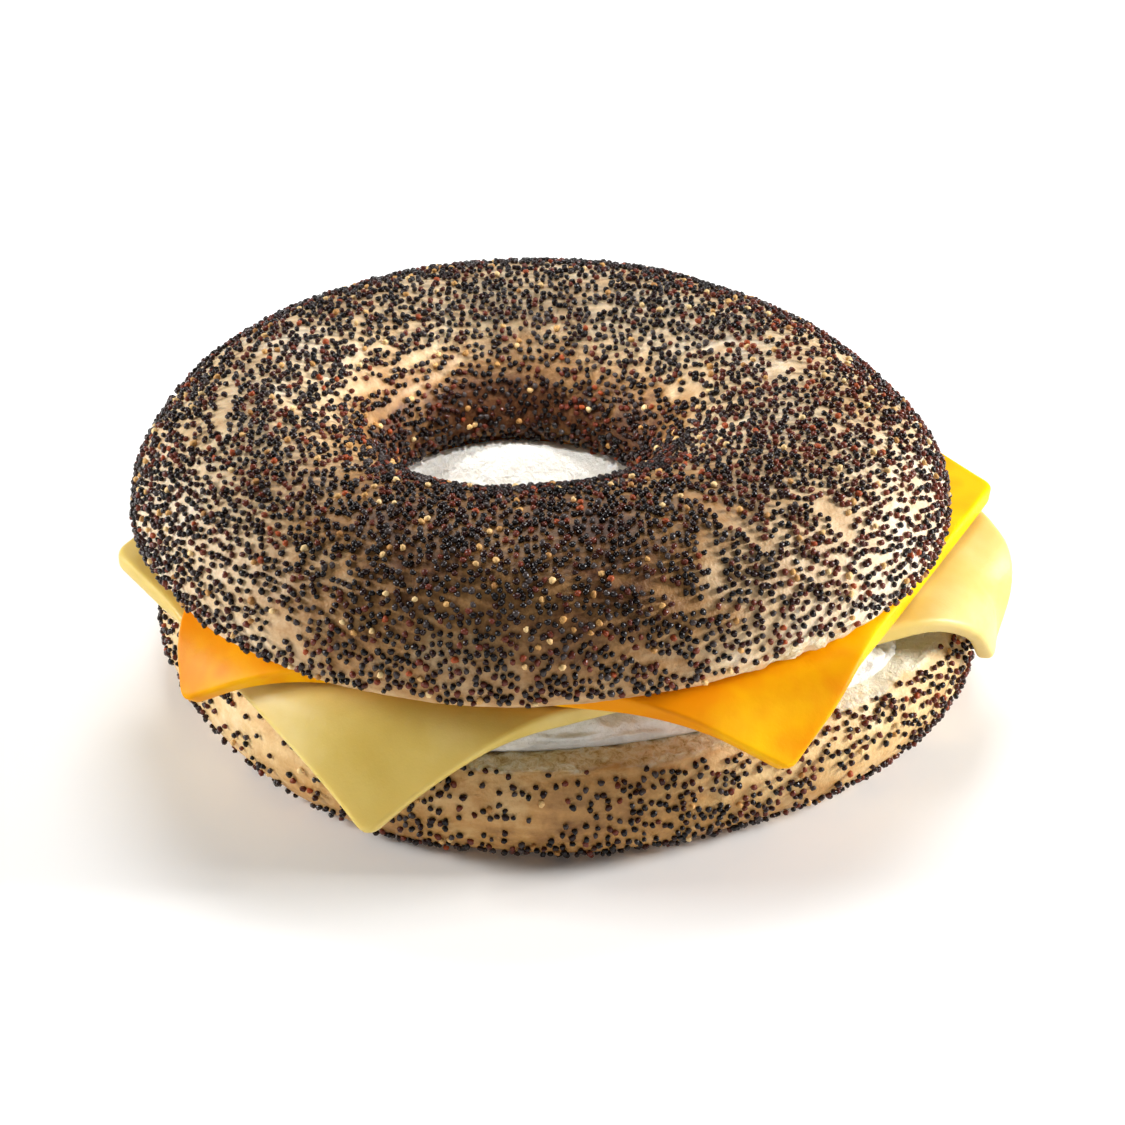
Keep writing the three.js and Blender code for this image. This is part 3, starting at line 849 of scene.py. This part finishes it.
def breadMaterial(half):
    bake = bakes[half]
    material, tree = startMaterial(f"{half}_baked_crust")
    place = addNode(tree, "ShaderNodeTexCoord").outputs["Object"]
    ring = addNode(tree, "ShaderNodeAttribute", {"attribute_name": "ringPlace"}).outputs["Vector"]
    split = addNode(tree, "ShaderNodeSeparateXYZ", links={0: place})
    low, high = bake["heights"]
    least, most = bake["browning"]
    tint = addNode(tree, "ShaderNodeMapRange",
                   {"From Min": low * mm, "From Max": high * mm, "To Min": least, "To Max": most},
                   {"Value": split.outputs["Z"]})
    patch = addNode(tree, "ShaderNodeTexNoise",
                    {"Scale": perMetre(crustLook["patch"]), "Detail": 3, "Roughness": 0.6},
                    {"Vector": place})
    mottle = addNode(tree, "ShaderNodeTexNoise",
                     {"Scale": perMetre(crustLook["mottle"]), "Detail": 4, "Roughness": 0.65},
                     {"Vector": place})
    streak = addNode(tree, "ShaderNodeTexNoise", {"Scale": 1.2, "Detail": 4, "Roughness": 0.6},
                     {"Vector": ring})
    for pattern, strength in zip((patch, mottle, streak), crustLook["strengths"]):
        swing = addNode(tree, "ShaderNodeMath",
                        {"operation": "MULTIPLY_ADD", 1: strength, 2: -strength / 2},
                        {0: pattern.outputs["Fac"]})
        tint = addNode(tree, "ShaderNodeMath", {"operation": "ADD"},
                       {0: tint.outputs[0], 1: swing.outputs[0]})
    # the crust gets browner towards the hole's wall
    centre = (axisSpot.x + crown["hole"][0], axisSpot.y + crown["hole"][1])
    level = addNode(tree, "ShaderNodeCombineXYZ", links={0: split.outputs["X"], 1: split.outputs["Y"]})
    reach = addNode(tree, "ShaderNodeVectorMath",
                    {"operation": "DISTANCE", 1: (centre[0] * mm, centre[1] * mm, 0)},
                    {0: level.outputs[0]})
    begin, full = crustLook["holeReach"]
    hole = addNode(tree, "ShaderNodeMapRange",
                   {"From Min": begin * mm, "From Max": full * mm, "To Min": 0, "To Max": bake["hole"]},
                   {"Value": reach.outputs["Value"]})
    tint = addNode(tree, "ShaderNodeMath", {"operation": "ADD"}, {0: tint.outputs[0], 1: hole.outputs[0]})
    # the front is painted browner and darker: partly a browner crust, partly painted shade where the front
    # lies in shadow
    right, back = crustLook["shadedFrontSpot"]
    ahead = addNode(tree, "ShaderNodeVectorMath",
                    {"operation": "DISTANCE", 1: ((axisSpot.x + right) * mm, (axisSpot.y + back) * mm, 0)},
                    {0: level.outputs[0]})
    begin, full = crustLook["shadedFrontReach"]
    front = addNode(tree, "ShaderNodeMapRange",
                    {"From Min": begin * mm, "From Max": full * mm, "To Min": 0, "To Max": bake["front"]},
                    {"Value": ahead.outputs["Value"]})
    tint = addNode(tree, "ShaderNodeMath", {"operation": "ADD"}, {0: tint.outputs[0], 1: front.outputs[0]})
    # pale creases on the crown, and painted light on the heel's crumb: both lighten the crust and the crumb
    pale = addNode(tree, "ShaderNodeAttribute", {"attribute_name": "paleCreasesAndPaintedLight"})
    lift = addNode(tree, "ShaderNodeMath", {"operation": "MULTIPLY", 1: -0.5}, {0: pale.outputs["Fac"]})
    tint = addNode(tree, "ShaderNodeMath", {"operation": "ADD"}, {0: tint.outputs[0], 1: lift.outputs[0]})
    crust = addNode(tree, "ShaderNodeValToRGB", links={0: tint.outputs[0]})
    setRamp(crust, list(zip((0.1, 0.38, 0.72, 1), crustLook[half])))
    bubble = addNode(tree, "ShaderNodeTexNoise",
                     {"Scale": perMetre(crumbLook["bubble"]), "Detail": 5, "Roughness": 0.7,
                      "Distortion": 0.6},
                     {"Vector": place})
    grain = addNode(tree, "ShaderNodeTexNoise", {"Scale": perMetre(crumbLook["grain"]), "Detail": 3},
                    {"Vector": place})
    # the crumb's bubbles, lightened by the crown's pale creases and by the light painted on the heel's crumb
    bubblesAndPaintedLight = addNode(tree, "ShaderNodeMath", {"operation": "MULTIPLY_ADD", 1: 0.25},
                   {0: pale.outputs["Fac"], 2: bubble.outputs["Fac"]})
    crumb = addNode(tree, "ShaderNodeValToRGB", links={0: bubblesAndPaintedLight.outputs[0]})
    setRamp(crumb, [(0.34, crumbLook["deep"]), (0.47, crumbLook["middle"]), (0.6, crumbLook["light"])])
    share = addNode(tree, "ShaderNodeAttribute", {"attribute_name": "crumbShare"})
    colour = addNode(tree, "ShaderNodeMix", {"data_type": "RGBA"},
                     {0: share.outputs["Fac"], 6: crust.outputs[0], 7: crumb.outputs[0]})
    rough = addNode(tree, "ShaderNodeMapRange", {"To Min": 0.5, "To Max": 0.9},
                    {"Value": share.outputs["Fac"]})
    wrinkle = addNode(tree, "ShaderNodeTexNoise",
                      {"Scale": perMetre(crustLook["wrinkle"]), "Detail": 5, "Roughness": 0.6},
                      {"Vector": place})
    skin = addNode(tree, "ShaderNodeBump", {"Strength": 0.6, "Distance": 0.3 * mm},
                   {"Height": wrinkle.outputs["Fac"]})
    strands = addNode(tree, "ShaderNodeTexNoise", {"Scale": 2.2, "Detail": 4, "Roughness": 0.6},
                      {"Vector": ring})
    skin = addNode(tree, "ShaderNodeBump", {"Strength": 0.15, "Distance": 0.3 * mm},
                   {"Height": strands.outputs["Fac"], "Normal": skin.outputs[0]})
    pores = addNode(tree, "ShaderNodeMath", {"operation": "MULTIPLY"},
                    {0: bubble.outputs["Fac"], 1: share.outputs["Fac"]})
    torn = addNode(tree, "ShaderNodeBump", {"Strength": 0.9, "Distance": 0.9 * mm},
                   {"Height": pores.outputs[0], "Normal": skin.outputs[0]})
    grit = addNode(tree, "ShaderNodeBump", {"Strength": 0.25, "Distance": 0.15 * mm},
                   {"Height": grain.outputs["Fac"], "Normal": torn.outputs[0]})
    shader = addNode(tree, "ShaderNodeBsdfPrincipled",
                     {"IOR": 1.42, "Subsurface Weight": 0.15, "Subsurface Radius": (1, 0.5, 0.25),
                      "Subsurface Scale": 1.2 * mm},
                     {"Base Color": colour.outputs[2], "Roughness": rough.outputs[0],
                      "Normal": grit.outputs[0]})
    addNode(tree, "ShaderNodeOutputMaterial", links={0: shader.outputs[0]})
    return material


# Poppy seed coat: a hard, finely netted skin with a soft gleam, blue-grey or red-brown.
seedLooks = {
    "black": {"stops": ["#060202", "#140807", "#2a1513"], "roughness": 0.24},
    "slate": {"stops": ["#0d0a0a", "#201a1a", "#433a38"], "roughness": 0.26},
    "brown": {"stops": ["#120706", "#33150f", "#6a3021"], "roughness": 0.24},
    "russet": {"stops": ["#32110a", "#662612", "#a3491f"], "roughness": 0.4},
    "tan": {"stops": ["#a06d38", "#cf9d5a", "#eccb90"], "roughness": 0.5},
}
netCell = 0.16  # millimetres, of the netted seed coat


def seedMaterial(kind):
    look = seedLooks[kind]
    material, tree = startMaterial(f"{kind}_seed_coat")
    place = addNode(tree, "ShaderNodeTexCoord").outputs["Object"]
    tone = addNode(tree, "ShaderNodeAttribute", {"attribute_name": "tone"})
    net = addNode(tree, "ShaderNodeTexVoronoi", {"Scale": perMetre(netCell)}, {"Vector": place})
    mixed = addNode(tree, "ShaderNodeMath", {"operation": "MULTIPLY_ADD", 1: 0.3},
                    {0: net.outputs["Distance"], 2: tone.outputs["Fac"]})
    colour = addNode(tree, "ShaderNodeValToRGB", links={0: mixed.outputs[0]})
    setRamp(colour, list(zip((0.1, 0.6, 1), look["stops"])))
    bump = addNode(tree, "ShaderNodeBump", {"Strength": 0.5, "Distance": 0.03 * mm},
                   {"Height": net.outputs["Distance"]})
    # the net's hollows hold part of the gleam back
    shader = addNode(tree, "ShaderNodeBsdfPrincipled",
                     {"Roughness": look["roughness"], "IOR": 1.45, "Specular IOR Level": 0.33},
                     {"Base Color": colour.outputs[0], "Normal": bump.outputs[0]})
    addNode(tree, "ShaderNodeOutputMaterial", links={0: shader.outputs[0]})
    return material


# Processed cheese: an even, waxy paste, cast flat. Light sinks in a little, so edges glow, and the
# orange one has less of a gleam, as its fat film is thinner.
cheeseLooks = {
    "orange": {"colours": ("#e48800", "#e89200", "#fcc600"), "paintedLightYellowing": 0.26, "gleam": 0.15,
               "radius": (1, 0.55, 0.05), "depth": 1.8, "weight": 0.25, "roughness": 0.4},
    "pale": {"colours": ("#c7aa52", "#d1b762", "#e2cc86"), "paintedLightYellowing": 0.12, "gleam": 0.45,
             "radius": (1, 0.8, 0.35), "depth": 3.0, "weight": 0.4, "roughness": 0.36},
}
# millimetres: the paste's clouds, its pits, and from where to where it is painted lighter and yellower to
# the right, as painted light
cheesePaste = {"cloud": 13, "pits": 0.5, "paintedLightFrom": 6, "paintedLightTo": 56}


def cheeseMaterial(kind):
    look = cheeseLooks[kind]
    material, tree = startMaterial(f"{kind}_cheese_paste")
    place = addNode(tree, "ShaderNodeTexCoord").outputs["Object"]
    cloud = addNode(tree, "ShaderNodeTexNoise",
                    {"Scale": perMetre(cheesePaste["cloud"]), "Detail": 3, "Roughness": 0.5},
                    {"Vector": place})
    # painted light: the paste is painted lighter and yellower towards the right, where the strongest lamp
    # falls on it
    side = addNode(tree, "ShaderNodeSeparateXYZ", links={0: place})
    paintedLightRight = addNode(tree, "ShaderNodeMapRange",
                    {"From Min": cheesePaste["paintedLightFrom"] * mm, "From Max": cheesePaste["paintedLightTo"] * mm,
                     "To Min": 0, "To Max": look["paintedLightYellowing"]},
                    {"Value": side.outputs["X"]})
    shade = addNode(tree, "ShaderNodeMath", {"operation": "ADD"},
                    {0: cloud.outputs["Fac"], 1: paintedLightRight.outputs[0]})
    colour = addNode(tree, "ShaderNodeValToRGB", links={0: shade.outputs[0]})
    setRamp(colour, list(zip((0.3, 0.5, 0.78), look["colours"])))
    pits = addNode(tree, "ShaderNodeTexNoise",
                   {"Scale": perMetre(cheesePaste["pits"]), "Detail": 4, "Roughness": 0.7},
                   {"Vector": place})
    film = addNode(tree, "ShaderNodeMapRange",
                   {"To Min": look["roughness"] - 0.08, "To Max": look["roughness"] + 0.1},
                   {"Value": cloud.outputs["Fac"]})
    bump = addNode(tree, "ShaderNodeBump", {"Strength": 0.3, "Distance": 0.12 * mm},
                   {"Height": pits.outputs["Fac"]})
    shader = addNode(tree, "ShaderNodeBsdfPrincipled",
                     {"IOR": 1.38, "Specular IOR Level": look["gleam"],
                      "Subsurface Weight": look["weight"], "Subsurface Radius": look["radius"],
                      "Subsurface Scale": look["depth"] * mm},
                     {"Base Color": colour.outputs[0], "Roughness": film.outputs[0],
                      "Normal": bump.outputs[0]})
    addNode(tree, "ShaderNodeOutputMaterial", links={0: shader.outputs[0]})
    return material


# Cream cheese: a whipped, moist curd, spread with a knife. White, soft, with a faint wet gleam.
curdLump = 1.4  # millimetres


def creamMaterial():
    material, tree = startMaterial("whipped_cream_cheese")
    place = addNode(tree, "ShaderNodeTexCoord").outputs["Object"]
    curd = addNode(tree, "ShaderNodeTexNoise",
                   {"Scale": perMetre(curdLump), "Detail": 5, "Roughness": 0.65},
                   {"Vector": place})
    colour = addNode(tree, "ShaderNodeValToRGB", links={0: curd.outputs["Fac"]})
    setRamp(colour, [(0.3, "#dedad0"), (0.6, "#eeebe4")])
    bump = addNode(tree, "ShaderNodeBump", {"Strength": 0.9, "Distance": 0.7 * mm},
                   {"Height": curd.outputs["Fac"]})
    shader = addNode(tree, "ShaderNodeBsdfPrincipled",
                     {"IOR": 1.4, "Roughness": 0.42, "Subsurface Weight": 0.3,
                      "Subsurface Radius": (1, 0.85, 0.7), "Subsurface Scale": 1.5 * mm},
                     {"Base Color": colour.outputs[0], "Normal": bump.outputs[0]})
    addNode(tree, "ShaderNodeOutputMaterial", links={0: shader.outputs[0]})
    return material


crownPiece.data.materials.append(breadMaterial("crown"))
heelPiece.data.materials.append(breadMaterial("heel"))
creamPiece.data.materials.append(creamMaterial())
palePiece.data.materials.append(cheeseMaterial("pale"))
orangePiece.data.materials.append(cheeseMaterial("orange"))
for kind, crownOne, heelOne in zip(seeds["kinds"], crownSeeds, heelSeeds):
    coat = seedMaterial(kind)
    crownOne.data.materials.append(coat)
    heelOne.data.materials.append(coat)
print("materials done")

# which piece stands for which solid, and the record's slot that it takes its finish from
dressed = [
    (crownPiece, "bagel_top", "crown_crust"),
    (heelPiece, "bagel_bottom", "heel_crust"),
    (creamPiece, "cream_cheese", "cream"),
    (palePiece, "pale_slice", "pale_cheese"),
    (orangePiece, "orange_slice", "orange_cheese"),
]
dressed += [(piece, "bagel_top", "crown_crust") for piece in crownSeeds]
dressed += [(piece, "bagel_bottom", "heel_crust") for piece in heelSeeds]
for piece, node, slotName in dressed:
    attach(piece, "root")
    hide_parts(node)

# floor and light
studio = {
    "floor": "#fcfcfb", "floorHalf": 6,  # metres
    "world": ("#ffffff", 0.1),
    # name, place in metres, size, brightness on a white card held towards it
    "lamps": [
        ("left", (-0.96, 0.06, 0.38), 0.35, 1.02),
        ("right", (0.97, 0.08, 0.38), 0.35, 1.58),
        ("behind", (0.0, 0.6, 0.95), 0.5, 0.6),
        ("front", (0.0, -0.95, 0.16), 0.4, 0.14),
    ],
    # narrow, steep beams that brighten the filling down in the hole: place, brightness, in millimetres
    "beams": [((-160, -150, 480), 1.75), ((150, -150, 480), 1.75)],
    "beamAim": (-6.5, 7, 21), "beamWidth": 34, "beamSoftness": 14,
    "lampAim": (0, 0, 0.02),  # metres
}


def addStudio():
    bm = bmesh.new()
    bmesh.ops.create_grid(bm, x_segments=2, y_segments=2, size=studio["floorHalf"])
    mesh = bpy.data.meshes.new("tableTop")
    bm.to_mesh(mesh)
    bm.free()
    floor = bpy.data.objects.new("tableTop", mesh)
    scene.collection.objects.link(floor)
    material, tree = startMaterial("matt_white_table")
    shader = addNode(tree, "ShaderNodeBsdfPrincipled",
                     {"Base Color": hexColour(studio["floor"]), "Roughness": 0.8})
    addNode(tree, "ShaderNodeOutputMaterial", links={0: shader.outputs[0]})
    mesh.materials.append(material)
    world = bpy.data.worlds.new("studioWorld")
    scene.world = world
    world.use_nodes = True
    tree = world.node_tree
    tree.nodes.clear()
    colour, strength = studio["world"]
    sky = addNode(tree, "ShaderNodeBackground", {"Color": hexColour(colour), "Strength": strength})
    addNode(tree, "ShaderNodeOutputWorld", links={0: sky.outputs[0]})
    for name, place, size, brightness in studio["lamps"]:
        data = bpy.data.lights.new(name, "AREA")
        data.energy = brightness * math.pi ** 2 * Vector(place).length_squared
        data.size = size
        lamp = bpy.data.objects.new(name, data)
        scene.collection.objects.link(lamp)
        towards = Vector(studio["lampAim"]) - Vector(place)
        turn = towards.to_track_quat("-Z", "Y").to_matrix().to_4x4()
        lamp.matrix_world = Matrix.Translation(place) @ turn
    aim = Vector(studio["beamAim"]) * mm
    for i, (place, brightness) in enumerate(studio["beams"]):
        start = Vector(place) * mm
        data = bpy.data.lights.new(f"beam{i}", "SPOT")
        data.spot_size = 2 * math.atan(studio["beamWidth"] / 2 * mm / (aim - start).length)
        data.spot_blend = 0.5
        data.shadow_soft_size = studio["beamSoftness"] * mm
        data.energy = brightness * 4 * math.pi ** 2 * (aim - start).length_squared
        lamp = bpy.data.objects.new(data.name, data)
        scene.collection.objects.link(lamp)
        turn = (aim - start).to_track_quat("-Z", "Y").to_matrix().to_4x4()
        lamp.matrix_world = Matrix.Translation(start) @ turn
    scene.view_settings.view_transform = "Standard"


addStudio()
print("studio done")
